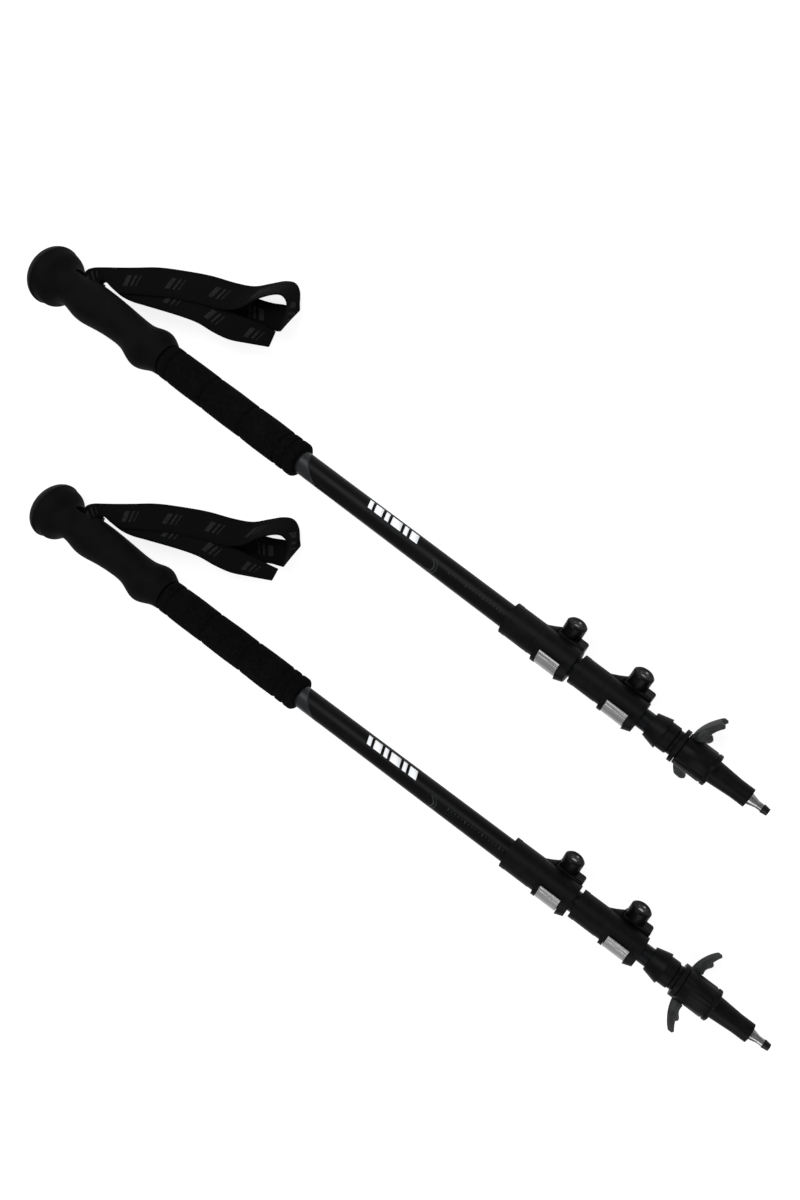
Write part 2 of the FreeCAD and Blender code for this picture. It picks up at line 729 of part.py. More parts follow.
def check(thing):
    for item in [thing] + thing.OutListRecursive:
        if "Invalid" in item.State or "Error" in item.State:
            raise RuntimeError(f"{item.Name} failed: {item.State}")
    shape = thing.Shape
    if shape.isNull() or not shape.isValid() or shape.Volume <= 0:
        raise RuntimeError(f"{thing.Name} has no sound shape")


def lay_down(poles):
    """Puts every piece in its pole's frame, centred over the origin with the table at Z = 0."""
    for frame, pieces in poles:
        for piece in pieces:
            piece.Placement = frame.multiply(piece.Placement)
    extent = FreeCAD.BoundBox()
    for frame, pieces in poles:
        for piece in pieces:
            extent.add(piece.Shape.optimalBoundingBox(False, False))
    shift = Vector(-extent.Center.x, -extent.Center.y, -extent.ZMin)
    for frame, pieces in poles:
        for piece in pieces:
            piece.setExpression("Placement.Base.x", None)
            piece.Placement.Base = piece.Placement.Base + shift
        frame.Base = frame.Base + shift
    return extent


def main():
    os.makedirs("parts", exist_ok=True)
    fill_sheet()
    poles = []
    for pole in (LEFT, RIGHT):
        pieces = make_pole(pole["side"], pole["gap"], pole["roll"])
        poles.append((resting_frame(pole["across"]), pieces))
    doc.recompute()
    for frame, pieces in poles:
        for piece in pieces:
            piece.Label = piece.Name
            check(piece)
    extent = lay_down(poles)
    for frame, pieces in poles:
        print("pole frame", frame)
        for piece in pieces:
            check(piece)
            piece.Shape.exportStep(f"parts/{piece.Label}.step")
    print("size", extent.XLength, extent.YLength, extent.ZLength)
    print("nodes", sum(len(pieces) for frame, pieces in poles))


main()
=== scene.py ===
"""A pair of trekking poles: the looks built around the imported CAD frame."""

import json
import math

import bpy
from mathutils import Matrix, Vector, noise


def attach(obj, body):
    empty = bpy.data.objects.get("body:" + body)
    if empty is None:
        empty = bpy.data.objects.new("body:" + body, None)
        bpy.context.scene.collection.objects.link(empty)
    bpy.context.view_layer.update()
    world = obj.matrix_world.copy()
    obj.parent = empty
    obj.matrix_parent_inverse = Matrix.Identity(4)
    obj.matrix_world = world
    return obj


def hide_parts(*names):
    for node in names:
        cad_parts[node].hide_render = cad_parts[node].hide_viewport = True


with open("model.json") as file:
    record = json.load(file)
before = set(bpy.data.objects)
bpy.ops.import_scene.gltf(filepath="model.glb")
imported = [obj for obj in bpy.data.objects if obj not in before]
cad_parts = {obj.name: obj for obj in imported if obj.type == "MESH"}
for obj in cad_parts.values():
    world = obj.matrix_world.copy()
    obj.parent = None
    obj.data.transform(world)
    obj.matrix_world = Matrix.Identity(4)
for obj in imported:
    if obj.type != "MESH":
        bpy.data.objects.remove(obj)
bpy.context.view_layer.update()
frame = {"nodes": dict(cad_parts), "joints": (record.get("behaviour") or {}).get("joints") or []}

MM = 0.001
SIDES = ("left", "right")
LOCKS = ("one", "two")
NODES = frame["nodes"]
JOINTS = {joint["name"]: joint for joint in frame["joints"]}


# ---------------------------------------------------------------- where the poles lie
# Each pole has its own frame: X from the pommel's top to the tip, +Y the strap's side, +Z up.

BASKET_STATION = 0.646
TUBE_RADIUS = 9.0
FACING = 68.4  # degrees round from +Y: the side of a tube that faces the camera


def matrix_of(x, y, z, start):
    made = Matrix.Identity(4)
    for column, vector in enumerate((x, y, z, start)):
        for row in range(3):
            made[row][column] = vector[row]
    return made


def pole_matrix(side):
    """The pole's frame, read from the joints that lie on it."""
    along = Vector(JOINTS[f"{side}_basket_turn"]["axis"]).normalized()
    across = Vector(JOINTS[f"{side}_wedge_slide"]["axis"])
    across = (across - along * along.dot(across)).normalized()
    start = Vector(JOINTS[f"{side}_basket_turn"]["pos_m"]) - along * BASKET_STATION
    return matrix_of(along, across, along.cross(across), start)


def knob_matrix(side, lock):
    """Z runs out along the clamp bolt; the start is on the knob's inner face."""
    joint = JOINTS[f"{side}_{lock}_knob_turn"]
    out = Vector(joint["axis"]).normalized()
    along = Vector(JOINTS[f"{side}_basket_turn"]["axis"]).normalized()
    along = (along - out * out.dot(along)).normalized()
    return matrix_of(along, out.cross(along), out, Vector(joint["pos_m"]))


POLES = {side: pole_matrix(side) for side in SIDES}


# ---------------------------------------------------------------- materials

class Finish:
    """A small helper that wires one procedural material."""

    def __init__(self, name):
        self.material = bpy.data.materials.new(name)
        self.material.use_nodes = True
        self.tree = self.material.node_tree
        self.shader = self.tree.nodes["Principled BSDF"]
        self.coords = self.tree.nodes.new("ShaderNodeTexCoord")

    def add(self, kind, links=None, **values):
        made = self.tree.nodes.new(kind)
        for key, value in values.items():
            setattr(made, key, value)
        for key, source in (links or {}).items():
            target = made.inputs[key]
            if hasattr(source, "is_output"):
                self.tree.links.new(source, target)
            else:
                target.default_value = source
        return made

    def mapped(self, stretch):
        vector = self.coords.outputs["Object"]
        return self.add("ShaderNodeMapping", {"Vector": vector, "Scale": stretch}).outputs[0]

    def noise(self, size_mm, detail=3.0, vector=None, roughness=0.55):
        vector = vector or self.coords.outputs["Object"]
        return self.add("ShaderNodeTexNoise", {
            "Vector": vector, "Scale": 1000.0 / size_mm, "Detail": detail, "Roughness": roughness}).outputs["Fac"]

    def cells(self, size_mm):
        vector = self.coords.outputs["Object"]
        return self.add("ShaderNodeTexVoronoi", {"Vector": vector, "Scale": 1000.0 / size_mm}).outputs["Distance"]

    def math(self, operation, a, b=0.0):
        return self.add("ShaderNodeMath", {0: a, 1: b}, operation=operation).outputs[0]

    def ranged(self, value, low, high, start=0.3, end=0.7):
        return self.add("ShaderNodeMapRange", {
            "Value": value, "From Min": start, "From Max": end, "To Min": low, "To Max": high}).outputs[0]

    def blend(self, factor, a, b):
        made = self.add("ShaderNodeMix", data_type="RGBA")
        for key, source in ((0, factor), (6, a), (7, b)):
            if hasattr(source, "is_output"):
                self.tree.links.new(source, made.inputs[key])
            else:
                made.inputs[key].default_value = source
        return made.outputs[2]

    def bump(self, height, strength, depth_mm, under=None):
        links = {"Height": height, "Strength": strength, "Distance": depth_mm * MM}
        if under is not None:
            links["Normal"] = under
        return self.add("ShaderNodeBump", links).outputs[0]

    def done(self, colour, roughness, normal, **sockets):
        for key, source in (("Base Color", colour), ("Roughness", roughness), ("Normal", normal)):
            self.tree.links.new(source, self.shader.inputs[key])
        for key, value in sockets.items():
            self.shader.inputs[key.replace("_", " ")].default_value = value
        return self.material


def grey(value, tint=0.0):
    """A dark neutral; a positive tint leans to blue."""
    return (value * (1.0 - tint), value, value * (1.0 + tint), 1.0)


def moulded(name, low, high, rough, patch=9.0, grain=0.45, depth=0.05, strength=0.5, tint=0.03, gloss=0.15):
    """Moulded rubber or plastic: uneven tone, fine texture, handled patches."""
    made = Finish(name)
    patches = made.noise(patch, 4.0)
    grains = made.noise(grain, 2.0)
    colour = made.blend(made.ranged(patches, 0.0, 1.0), grey(low, tint), grey(high, tint))
    roughness = made.ranged(made.math("ADD", made.math("MULTIPLY", patches, 0.7),
                                      made.math("MULTIPLY", grains, 0.3)), rough[0], rough[1])
    wave = made.bump(patches, 0.12, 0.4)
    return made.done(colour, roughness, made.bump(grains, strength, depth, wave), Specular_IOR_Level=gloss)


def brushed(name, low, high, rough, stretch, tint=0.0, depth=0.02, **sockets):
    """Metal with a fine directional brush, dulled in patches by handling."""
    made = Finish(name)
    lines = made.noise(0.35, 3.0, made.mapped(stretch), 0.7)
    haze = made.noise(6.0, 3.0)
    colour = made.blend(made.ranged(lines, 0.0, 1.0), grey(low, tint), grey(high, tint))
    roughness = made.ranged(made.math("ADD", made.math("MULTIPLY", lines, 0.5),
                                      made.math("MULTIPLY", haze, 0.5)), rough[0], rough[1])
    return made.done(colour, roughness, made.bump(lines, 0.35, depth), Metallic=1.0, **sockets)


def foam_finish():
    made = Finish("pole_foam")
    pores = made.cells(0.75)
    crumbs = made.noise(2.4, 4.0)
    worn = made.noise(14.0, 3.0)
    colour = made.blend(made.ranged(crumbs, 0.0, 1.0), grey(0.001, 0.02), grey(0.003, 0.02))
    colour = made.blend(made.ranged(worn, 0.0, 0.35, 0.5, 0.75), colour, grey(0.005, 0.0))
    height = made.math("ADD", made.math("MULTIPLY", pores, 0.6), made.math("MULTIPLY", crumbs, 0.8))
    return made.done(colour, made.ranged(crumbs, 0.86, 0.99), made.bump(height, 0.65, 0.22),
                     Sheen_Weight=0.0, Specular_IOR_Level=0.02)


WEAVE_PITCH = 1.1
PRINT_PITCH = 41.0
PRINT_SLANT = 0.55
PRINT_HALF_WIDTH = 4.4
SELVEDGE_FROM = 8.6


def webbing_finish():
    """Woven tape: cross ribs, warp threads, selvedges and a faint slanted print."""
    made = Finish("pole_webbing")
    parts = made.add("ShaderNodeSeparateXYZ", {"Vector": made.coords.outputs["UV"]})
    along, across = parts.outputs[0], parts.outputs[1]
    rib = made.math("SINE", made.math("MULTIPLY", along, 2.0 * math.pi * 1000.0 / WEAVE_PITCH))
    warp = made.math("SINE", made.math("MULTIPLY", across, 2.0 * math.pi * 1000.0 / (1.6 * WEAVE_PITCH)))
    weave = made.math("MULTIPLY", rib, warp)
    fuzz = made.noise(0.5, 3.0)
    ribbed = made.math("ADD", made.math("MULTIPLY", rib, 0.3), fuzz)
    height = made.math("ADD", made.math("MULTIPLY", weave, 0.5), ribbed)
    # selvedge: a darker tighter edge
    edge = made.math("GREATER_THAN", made.math("ABSOLUTE", across), SELVEDGE_FROM * MM)
    # print: slanted blocks of three different widths, repeated along the tape
    slanted = made.math("ADD", along, made.math("MULTIPLY", across, PRINT_SLANT))
    phase = made.math("FRACT", made.math("DIVIDE", slanted, PRINT_PITCH * MM))
    first = made.math("MULTIPLY", made.math("GREATER_THAN", phase, 0.16), made.math("LESS_THAN", phase, 0.27))
    second = made.math("MULTIPLY", made.math("GREATER_THAN", phase, 0.34), made.math("LESS_THAN", phase, 0.39))
    third = made.math("MULTIPLY", made.math("GREATER_THAN", phase, 0.46), made.math("LESS_THAN", phase, 0.485))
    blocks = made.math("ADD", first, made.math("ADD", second, third))
    inside = made.math("LESS_THAN", made.math("ABSOLUTE", across), PRINT_HALF_WIDTH * MM)
    printed = made.math("MULTIPLY", blocks, inside)
    faded = made.math("MULTIPLY", printed, made.ranged(made.noise(1.6, 4.0), 0.35, 1.0, 0.35, 0.6))
    cloth = made.blend(made.ranged(fuzz, 0.0, 1.0), grey(0.001, 0.04), grey(0.003, 0.04))
    cloth = made.blend(made.math("MULTIPLY", edge, 0.6), cloth, grey(0.0015))
    colour = made.blend(faded, cloth, grey(0.014, 0.0))
    return made.done(colour, made.ranged(fuzz, 0.72, 0.95), made.bump(height, 0.55, 0.16),
                     Sheen_Weight=0.0, Specular_IOR_Level=0.03)


FINISH = {
    "grip_rubber": moulded("pole_grip_rubber", 0.0012, 0.003, (0.6, 0.82), 12.0, 0.6, 0.07, 0.55, gloss=0.035),
    "cap_rubber": moulded("pole_cap_rubber", 0.0025, 0.006, (0.45, 0.66), 10.0, 0.5, 0.05, 0.5, gloss=0.06),
    "foam": foam_finish(),
    "strap_webbing": webbing_finish(),
    "tube_paint": moulded("pole_tube_paint", 0.0015, 0.003, (0.3, 0.42), 30.0, 0.8, 0.012, 0.25, gloss=0.05),
    "tube_anodised": brushed("pole_tube_anodised", 0.004, 0.01, (0.34, 0.5), (0.04, 1.0, 1.0), 0.05),
    "clamp_plastic": moulded("pole_clamp_plastic", 0.0012, 0.003, (0.36, 0.55), 8.0, 0.35, 0.03, 0.4, gloss=0.05),
    "shim_plastic": moulded("pole_shim_plastic", 0.02, 0.035, (0.5, 0.7), 8.0, 0.5, 0.03, 0.4),
    "knob_plastic": moulded("pole_knob_plastic", 0.001, 0.003, (0.26, 0.38), 7.0, 0.35, 0.01, 0.2, gloss=0.05),
    "lever_metal": brushed("pole_lever_metal", 0.22, 0.36, (0.3, 0.46), (0.05, 1.0, 1.0)),
    "pin_steel": brushed("pole_pin_steel", 0.3, 0.46, (0.25, 0.4), (1.0, 1.0, 1.0)),
    "tip_plastic": moulded("pole_tip_plastic", 0.0012, 0.003, (0.34, 0.55), 8.0, 0.4, 0.03, 0.45, gloss=0.05),
    "basket_plastic": moulded("pole_basket_plastic", 0.014, 0.032, (0.5, 0.7), 9.0, 0.6, 0.05, 0.5, gloss=0.1),
    "chrome_steel": brushed("pole_chrome_steel", 0.03, 0.3, (0.1, 0.2), (0.03, 0.3, 0.3)),
    "carbide": brushed("pole_carbide", 0.008, 0.02, (0.35, 0.5), (1.0, 1.0, 1.0), 0.03, 0.05),
}
PRINT_WHITE = moulded("pole_print_white", 0.72, 0.85, (0.35, 0.5), 12.0, 0.5, 0.01, 0.2)
PRINT_GREY = moulded("pole_print_grey", 0.008, 0.016, (0.34, 0.48), 6.0, 0.5, 0.01, 0.2, tint=0.06)
PRINT_TEAL = moulded("pole_print_teal", 0.008, 0.014, (0.3, 0.44), 5.0, 0.4, 0.01, 0.2, tint=0.12)
INSERT_METAL = brushed("pole_insert_metal", 0.02, 0.07, (0.2, 0.34), (1.0, 1.0, 1.0))

for carried in NODES.values():
    for place in carried.material_slots:
        place.material = FINISH[place.material.name.split(".")[0]]


# ---------------------------------------------------------------- mesh helpers

def piece(name, matrix, points, faces, body, material, uvs=None):
    """A mesh piece drawn in millimetres in a local frame, laid in the row frame and set on a body."""
    mesh = bpy.data.meshes.new(name)
    mesh.from_pydata([matrix @ (Vector(point) * MM) for point in points], [], faces)
    if uvs:
        layer = mesh.uv_layers.new(name="tape")
        for loop in mesh.loops:
            layer.data[loop.index].uv = uvs[loop.vertex_index]
    mesh.validate()
    mesh.polygons.foreach_set("use_smooth", [True] * len(mesh.polygons))
    mesh.update()
    made = bpy.data.objects.new(name, mesh)
    bpy.context.scene.collection.objects.link(made)
    made.data.materials.append(material)
    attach(made, body)
    return made


def ring_faces(rings, around, closed_loop=False):
    """Quads between neighbouring rings of points, with end caps or the last ring joined to the first."""
    faces = []
    spans = rings if closed_loop else rings - 1
    for ring in range(spans):
        here, there = ring * around, ((ring + 1) % rings) * around
        for spot in range(around):
            after = (spot + 1) % around
            faces.append((here + spot, here + after, there + after, there + spot))
    if not closed_loop:
        faces.append(tuple(reversed(range(around))))
        faces.append(tuple((rings - 1) * around + spot for spot in range(around)))
    return faces


def smooth_path(stations, steps):
    """Catmull-Rom points through stations of equal length tuples."""
    points = []
    last = len(stations) - 1
    for index in range(last):
        before = stations[max(index - 1, 0)]
        start, end = stations[index], stations[index + 1]
        after = stations[min(index + 2, last)]
        for step in range(steps):
            t = step / steps
            points.append(tuple(
                0.5 * (2 * b + (c - a) * t + (2 * a - 5 * b + 4 * c - d) * t * t
                       + (3 * b - a - 3 * c + d) * t ** 3)
                for a, b, c, d in zip(before, start, end, after)))
    points.append(tuple(stations[last]))
    return points


# ---------------------------------------------------------------- foam sleeve

FOAM_START, FOAM_END = 155.5, 299.0
FOAM_RADIUS = 13.9
FOAM_BORE = 9.1
FOAM_GROOVES = ((165.5, 1.5), (204.0, 1.6), (245.0, 1.6), (281.5, 1.5), (290.0, 1.3))
FOAM_AROUND = 72


def foam_outline():
    """Station and radius of the foam's skin, with soft shoulders, five grooves and shallow swells."""
    outline = []
    count = 240
    for step in range(count + 1):
        at = FOAM_START + (FOAM_END - FOAM_START) * step / count
        radius = FOAM_RADIUS
        radius += 0.18 * math.sin(math.pi * (at - 165.5) / 39.5) ** 2 if 165.5 < at < 281.5 else 0.0
        for groove, depth in FOAM_GROOVES:
            radius -= depth * math.exp(-(((at - groove) / 1.15) ** 2))
        for end in (FOAM_START, FOAM_END):
            near = abs(at - end)
            if near < 3.0:
                radius -= 3.0 - math.sqrt(9.0 - (3.0 - near) ** 2)
        outline.append((at, radius))
    return outline


def make_foam(side):
    outline = foam_outline()
    profile = [(FOAM_START, FOAM_BORE, 0.0)] + [(at, radius, 1.0) for at, radius in outline]
    profile += [(FOAM_END, FOAM_BORE, 0.0)]
    points = []
    for at, radius, skin in profile:
        for spot in range(FOAM_AROUND):
            angle = 2.0 * math.pi * spot / FOAM_AROUND
            direction = Vector((at * 0.06, math.cos(angle) * 1.4, math.sin(angle) * 1.4))
            dent = skin * 0.14 * noise.noise(direction + Vector((0, 0, 7.0 if side == "left" else 19.0)))
            points.append((at, (radius + dent) * math.cos(angle), (radius + dent) * math.sin(angle)))
    faces = ring_faces(len(profile), FOAM_AROUND, closed_loop=True)
    made = piece(f"{side}_foam_grip", POLES[side], points, faces, f"{side}_handle", FINISH["foam"])
    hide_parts(f"{side}_foam_sleeve")


# ---------------------------------------------------------------- hand strap
# Stations along the tape: one edge, then the other, each as along, across and height over the
# plane that slopes down from the strap pin.

PIN_ACROSS, PIN_UP = 6.5, -6.0
STRAP_SLOPE = math.tan(math.radians(11.5))
TAPE_THICK = 1.4
TAPE_STEPS = 8

LOOP = [
    (42.5, 3.0, 2.6, 59.8, 3.0, 2.6),
    (42.5, 11.0, 2.8, 60.0, 10.0, 2.8),
    (43.5, 18.5, 3.2, 60.3, 17.2, 3.2),
    (49.0, 24.0, 3.6, 65.0, 20.2, 3.6),
    (58.0, 29.2, 3.8, 74.0, 19.6, 3.8),
    (69.0, 35.3, 3.8, 84.0, 20.3, 3.8),
    (84.0, 44.0, 3.8, 96.0, 26.5, 3.8),
    (101.0, 54.0, 3.8, 111.0, 34.0, 3.8),
    (120.0, 62.7, 3.8, 128.5, 42.2, 3.8),
    (147.0, 73.4, 3.6, 153.5, 52.0, 4.0),
    (170.0, 80.3, 3.0, 176.0, 59.5, 6.0),
    (186.0, 86.5, 1.6, 192.5, 70.0, 13.0),
    (197.0, 95.0, 0.8, 204.0, 83.5, 17.6),
    (206.5, 102.5, 0.8, 214.5, 93.2, 18.4),
    (215.0, 105.8, 1.0, 222.5, 96.4, 18.8),
    (222.5, 103.3, 2.0, 230.0, 93.2, 19.0),
    (229.0, 96.5, 3.2, 232.8, 83.5, 18.0),
    (231.8, 92.5, 2.8, 231.8, 75.0, 11.0),
    (227.5, 91.8, 1.4, 227.0, 71.0, 4.0),
    (217.0, 88.6, 0.8, 217.5, 67.2, 0.8),
    (207.0, 84.4, 0.8, 208.5, 63.2, 0.8),
    (194.0, 80.6, 0.8, 197.0, 59.4, 0.8),
    (174.0, 76.0, 0.8, 179.5, 54.7, 0.8),
    (147.0, 68.0, 0.8, 154.0, 47.0, 0.8),
    (120.0, 57.5, 0.8, 128.0, 37.0, 0.8),
    (101.0, 49.0, 0.8, 110.0, 29.5, 0.8),
    (84.0, 40.0, 0.7, 95.0, 22.5, 0.7),
    (69.0, 32.5, 0.4, 81.0, 20.5, 0.4),
    (57.0, 26.5, -0.3, 70.5, 19.6, -0.3),
    (48.5, 22.5, -1.2, 64.5, 19.2, -1.2),
    (43.5, 17.5, -2.0, 60.3, 16.8, -2.0),
    (42.5, 11.0, -3.2, 60.0, 10.0, -3.2),
    (42.5, 3.0, -3.9, 59.8, 3.0, -3.9),
]
TAIL = [
    (42.5, 3.0, -2.35, 59.8, 3.0, -2.35),
    (42.5, 11.0, -1.6, 60.0, 10.0, -1.6),
    (43.5, 18.0, -0.2, 60.3, 17.0, -0.2),
    (49.0, 23.3, 1.2, 65.0, 19.6, 1.2),
    (58.0, 27.5, 1.9, 73.0, 18.8, 1.9),
    (72.0, 34.0, 2.3, 85.5, 18.6, 2.3),
    (88.0, 39.5, 2.3, 97.0, 20.6, 2.3),
    (105.0, 45.5, 2.3, 111.5, 25.1, 2.3),
    (134.0, 54.5, 2.3, 140.4, 34.0, 2.3),
    (155.0, 59.5, 2.3, 159.3, 38.7, 2.3),
    (172.5, 60.8, 2.6, 175.5, 40.3, 2.2),
    (188.5, 63.0, 5.0, 191.5, 43.2, 1.8),
    (207.0, 67.5, 10.5, 207.5, 49.4, 1.6),
    (230.5, 71.8, 13.2, 225.5, 57.0, 1.4),
]


# The two straps have not settled alike: how far each one's free end lies from the shared shape.
SETTLE = {"left": (-3.6, -4.6), "right": (1.6, 1.0)}
SETTLE_FROM, SETTLE_LONG = 60.0, 172.0


def strap_point(side, along, across, height):
    share = max(0.0, along - SETTLE_FROM) / SETTLE_LONG
    along += SETTLE[side][0] * share * share
    across += SETTLE[side][1] * share
    return Vector((along, across, PIN_UP - STRAP_SLOPE * (across - PIN_ACROSS) + height))


def make_tape(name, side, stations):
    """A closed ribbon with rounded edges through the stations; returns it and its length."""
    path = smooth_path(stations, TAPE_STEPS)
    pairs = [(strap_point(side, *row[:3]), strap_point(side, *row[3:])) for row in path]
    middles = [(a + b) / 2 for a, b in pairs]
    half = TAPE_THICK / 2
    shape = [(-0.5, 0.0), (-0.487, 0.75)] + [(-0.46 + 0.092 * step, 1.0) for step in range(11)] + [(0.487, 0.75)]
    shape += [(0.5, 0.0), (0.487, -0.75)] + [(0.46 - 0.092 * step, -1.0) for step in range(11)] + [(-0.487, -0.75)]
    points, uvs = [], []
    run = 0.0
    for index, (a, b) in enumerate(pairs):
        if index:
            run += (middles[index] - middles[index - 1]).length
        tangent = middles[min(index + 1, len(middles) - 1)] - middles[max(index - 1, 0)]
        wide = b - a
        normal = tangent.cross(wide).normalized()
        for across, up in shape:
            crown = 0.12 * (1.0 - 4.0 * across * across)
            points.append(middles[index] + wide * across + normal * (half * up + crown))
            uvs.append((run * MM, across * wide.length * MM))
    made = piece(name, POLES[side], points, ring_faces(len(pairs), len(shape)), f"{side}_hand_strap",
                 FINISH["strap_webbing"], uvs)
    mean = sum((b - a).length for a, b in pairs) / len(pairs)
    return made, (mean * MM, run * MM)


def make_strap(side):
    loop, cut = make_tape(f"{side}_strap_loop_tape", side, LOOP)
    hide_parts(f"{side}_strap")
    tail, cut = make_tape(f"{side}_strap_tail_tape", side, TAIL)


# ---------------------------------------------------------------- printing on the upper tube

PRINT_LIFT = 0.03
PRINT_SKIN = 0.05
FIELD_EDGE = 86.0  # degrees to each side of the facing side
BAR_FROM, BAR_TO, BAR_SLANT = -58.0, -12.0, 3.0
BARS = ((363.0, 3.6), (369.0, 7.0), (378.5, 3.6), (384.5, 9.0), (396.0, 3.6), (402.0, 7.0))
ARC_STATION, ARC_SIDE, ARC_DEGREES_PER_MM = 425.0, 28.0, 6.1 * 0.8
TICK_FROM, TICK_PITCH, TICK_SIDE, TICKS = 443.0, 3.0, 4.0, 17


def tube_print(name, side, strips, material, rows=6):
    """Thin skins on the tube. Each strip is two lines of (station, degrees from the facing side)."""
    points, faces = [], []
    for low, high in strips:
        columns = len(low)
        for skin in (PRINT_LIFT, PRINT_LIFT + PRINT_SKIN):
            for row in range(rows + 1):
                share = row / rows
                for (u0, a0), (u1, a1) in zip(low, high):
                    angle = math.radians(FACING + a0 + (a1 - a0) * share)
                    radius = TUBE_RADIUS + skin
                    points.append((u0 + (u1 - u0) * share, radius * math.cos(angle), radius * math.sin(angle)))
        base = len(points) - 2 * columns * (rows + 1)
        upper = base + columns * (rows + 1)
        for row in range(rows):
            for column in range(columns - 1):
                corner = row * columns + column
                quad = (corner, corner + 1, corner + columns + 1, corner + columns)
                faces.append(tuple(base + spot for spot in quad))
                faces.append(tuple(upper + spot for spot in reversed(quad)))
        border = list(range(columns)) + [(row + 1) * columns - 1 for row in range(1, rows + 1)]
        border += [rows * columns + column for column in range(columns - 2, -1, -1)]
        border += [row * columns for row in range(rows - 1, 0, -1)]
        for here, after in zip(border, border[1:] + border[:1]):
            faces.append((base + after, base + here, upper + here, upper + after))
    return piece(name, POLES[side], points, faces, f"{side}_handle", material)


def line(u0, a0, u1, a1):
    return [(u0, a0), (u1, a1)]


def make_prints(side):
    # a field of colour below the foam, with a curved edge
    across = [-FIELD_EDGE + 2.0 * FIELD_EDGE * step / 16 for step in range(17)]
    foam_edge = [(FOAM_END + 0.2, degrees) for degrees in across]
    curve = [(FOAM_END + 4.0 + 22.0 * (step / 16) ** 1.6, degrees) for step, degrees in enumerate(across)]
    tube_print(f"{side}_tube_field_print", side, [(foam_edge, curve)], PRINT_TEAL, rows=5)
    # slanted plain bars of several widths
    bars = []
    for start, wide in BARS:
        end = start + BAR_SLANT
        bars.append((line(start, BAR_FROM, start + wide, BAR_FROM), line(end, BAR_TO, end + wide, BAR_TO)))
    tube_print(f"{side}_tube_bar_print", side, bars, PRINT_WHITE, rows=8)
    # two plain ring sectors
    rings = []
    for inner, outer in ((6.2, 7.6), (8.8, 9.6)):
        lines = [[], []]
        for step in range(15):
            turn = math.radians(-70.0 + 200.0 * step / 14)
            for edge, radius in zip(lines, (inner, outer)):
                edge.append((ARC_STATION + radius * math.cos(turn),
                             ARC_SIDE + ARC_DEGREES_PER_MM * radius * math.sin(turn)))
        rings.append(lines)
    tube_print(f"{side}_tube_arc_print", side, rings, PRINT_GREY, rows=2)
    # a length scale of short marks, every fifth one longer
    ticks = []
    for step in range(TICKS):
        at = TICK_FROM + TICK_PITCH * step
        reach = 7.0 if step % 5 == 0 else 2.6
        low, high = TICK_SIDE - reach, TICK_SIDE + reach
        ticks.append((line(at, low, at + 1.0, low), line(at, high, at + 1.0, high)))
    tube_print(f"{side}_tube_scale_print", side, ticks, PRINT_GREY, rows=2)


# ---------------------------------------------------------------- knob inserts

INSERT_PROFILE = [
    (2.05, 7.32), (2.05, 7.62), (2.6, 7.68), (3.1, 7.95), (3.55, 8.45), (3.85, 9.05), (4.02, 9.25), (4.14, 9.1),
    (4.14, 7.32),
]
INSERT_AROUND = 48


def make_insert(side, lock):
    """A bright dished washer in the knob's recess."""
    points = []
    for radius, up in INSERT_PROFILE:
        for spot in range(INSERT_AROUND):
            angle = 2.0 * math.pi * spot / INSERT_AROUND
            points.append((radius * math.cos(angle), radius * math.sin(angle), up))
    faces = ring_faces(len(INSERT_PROFILE), INSERT_AROUND, closed_loop=True)
    piece(f"{side}_{lock}_knob_insert", knob_matrix(side, lock), points, faces, f"{side}_{lock}_adjuster",
          INSERT_METAL)


# ---------------------------------------------------------------- clamp shoulders
# Drawn at the clamp's ears: along the pole from the bolt, along the bolt, and out from the pole.

SHOULDER_TAPER = 13.0
EAR_BACK = 8.0
KNOB_FACE = 12.2
BOLT_OUT = {"one": 12.8, "two": 11.8}
CLAMP_BODY = {"one": "handle", "two": "middle_section"}


def make_shoulder(side, lock):
    """A smooth web that runs from the collar up to the ear, on the handle's side."""
    points = []
    rings, around = 11, 28
    for ring in range(rings):
        share = ring / (rings - 1)
        rise = share ** 1.35
        low, high = 0.5 - 1.5 * rise, 8.6 + 3.1 * rise
        inner, outer = 4.0 + 2.0 * rise, 8.0 + 8.0 * rise + BOLT_OUT[lock] - 12.8
        for spot in range(around):
            turn = 2.0 * math.pi * spot / around
            square = [math.copysign(abs(value) ** 0.5, value) for value in (math.cos(turn), math.sin(turn))]
            points.append((-EAR_BACK - SHOULDER_TAPER * (1.0 - share),
                           (inner + outer) / 2 + (outer - inner) / 2 * square[0] - BOLT_OUT[lock],
                           (low + high) / 2 + (high - low) / 2 * square[1] - KNOB_FACE))
    piece(f"{side}_{lock}_clamp_shoulder", knob_matrix(side, lock), points, ring_faces(rings, around),
          f"{side}_{CLAMP_BODY[lock]}", FINISH["clamp_plastic"])


# ---------------------------------------------------------------- lever ridges

LEVER_STATIONS = {"one": 526.3, "two": 580.9}  # where each lever's plate starts
LEVER_WIDE = 16.2
LOCK_ROLL = {"left": -20.0, "right": -27.0}
LEVER_FROM = 116.0
LEVER_RADIUS = {"one": 13.75, "two": 12.75}


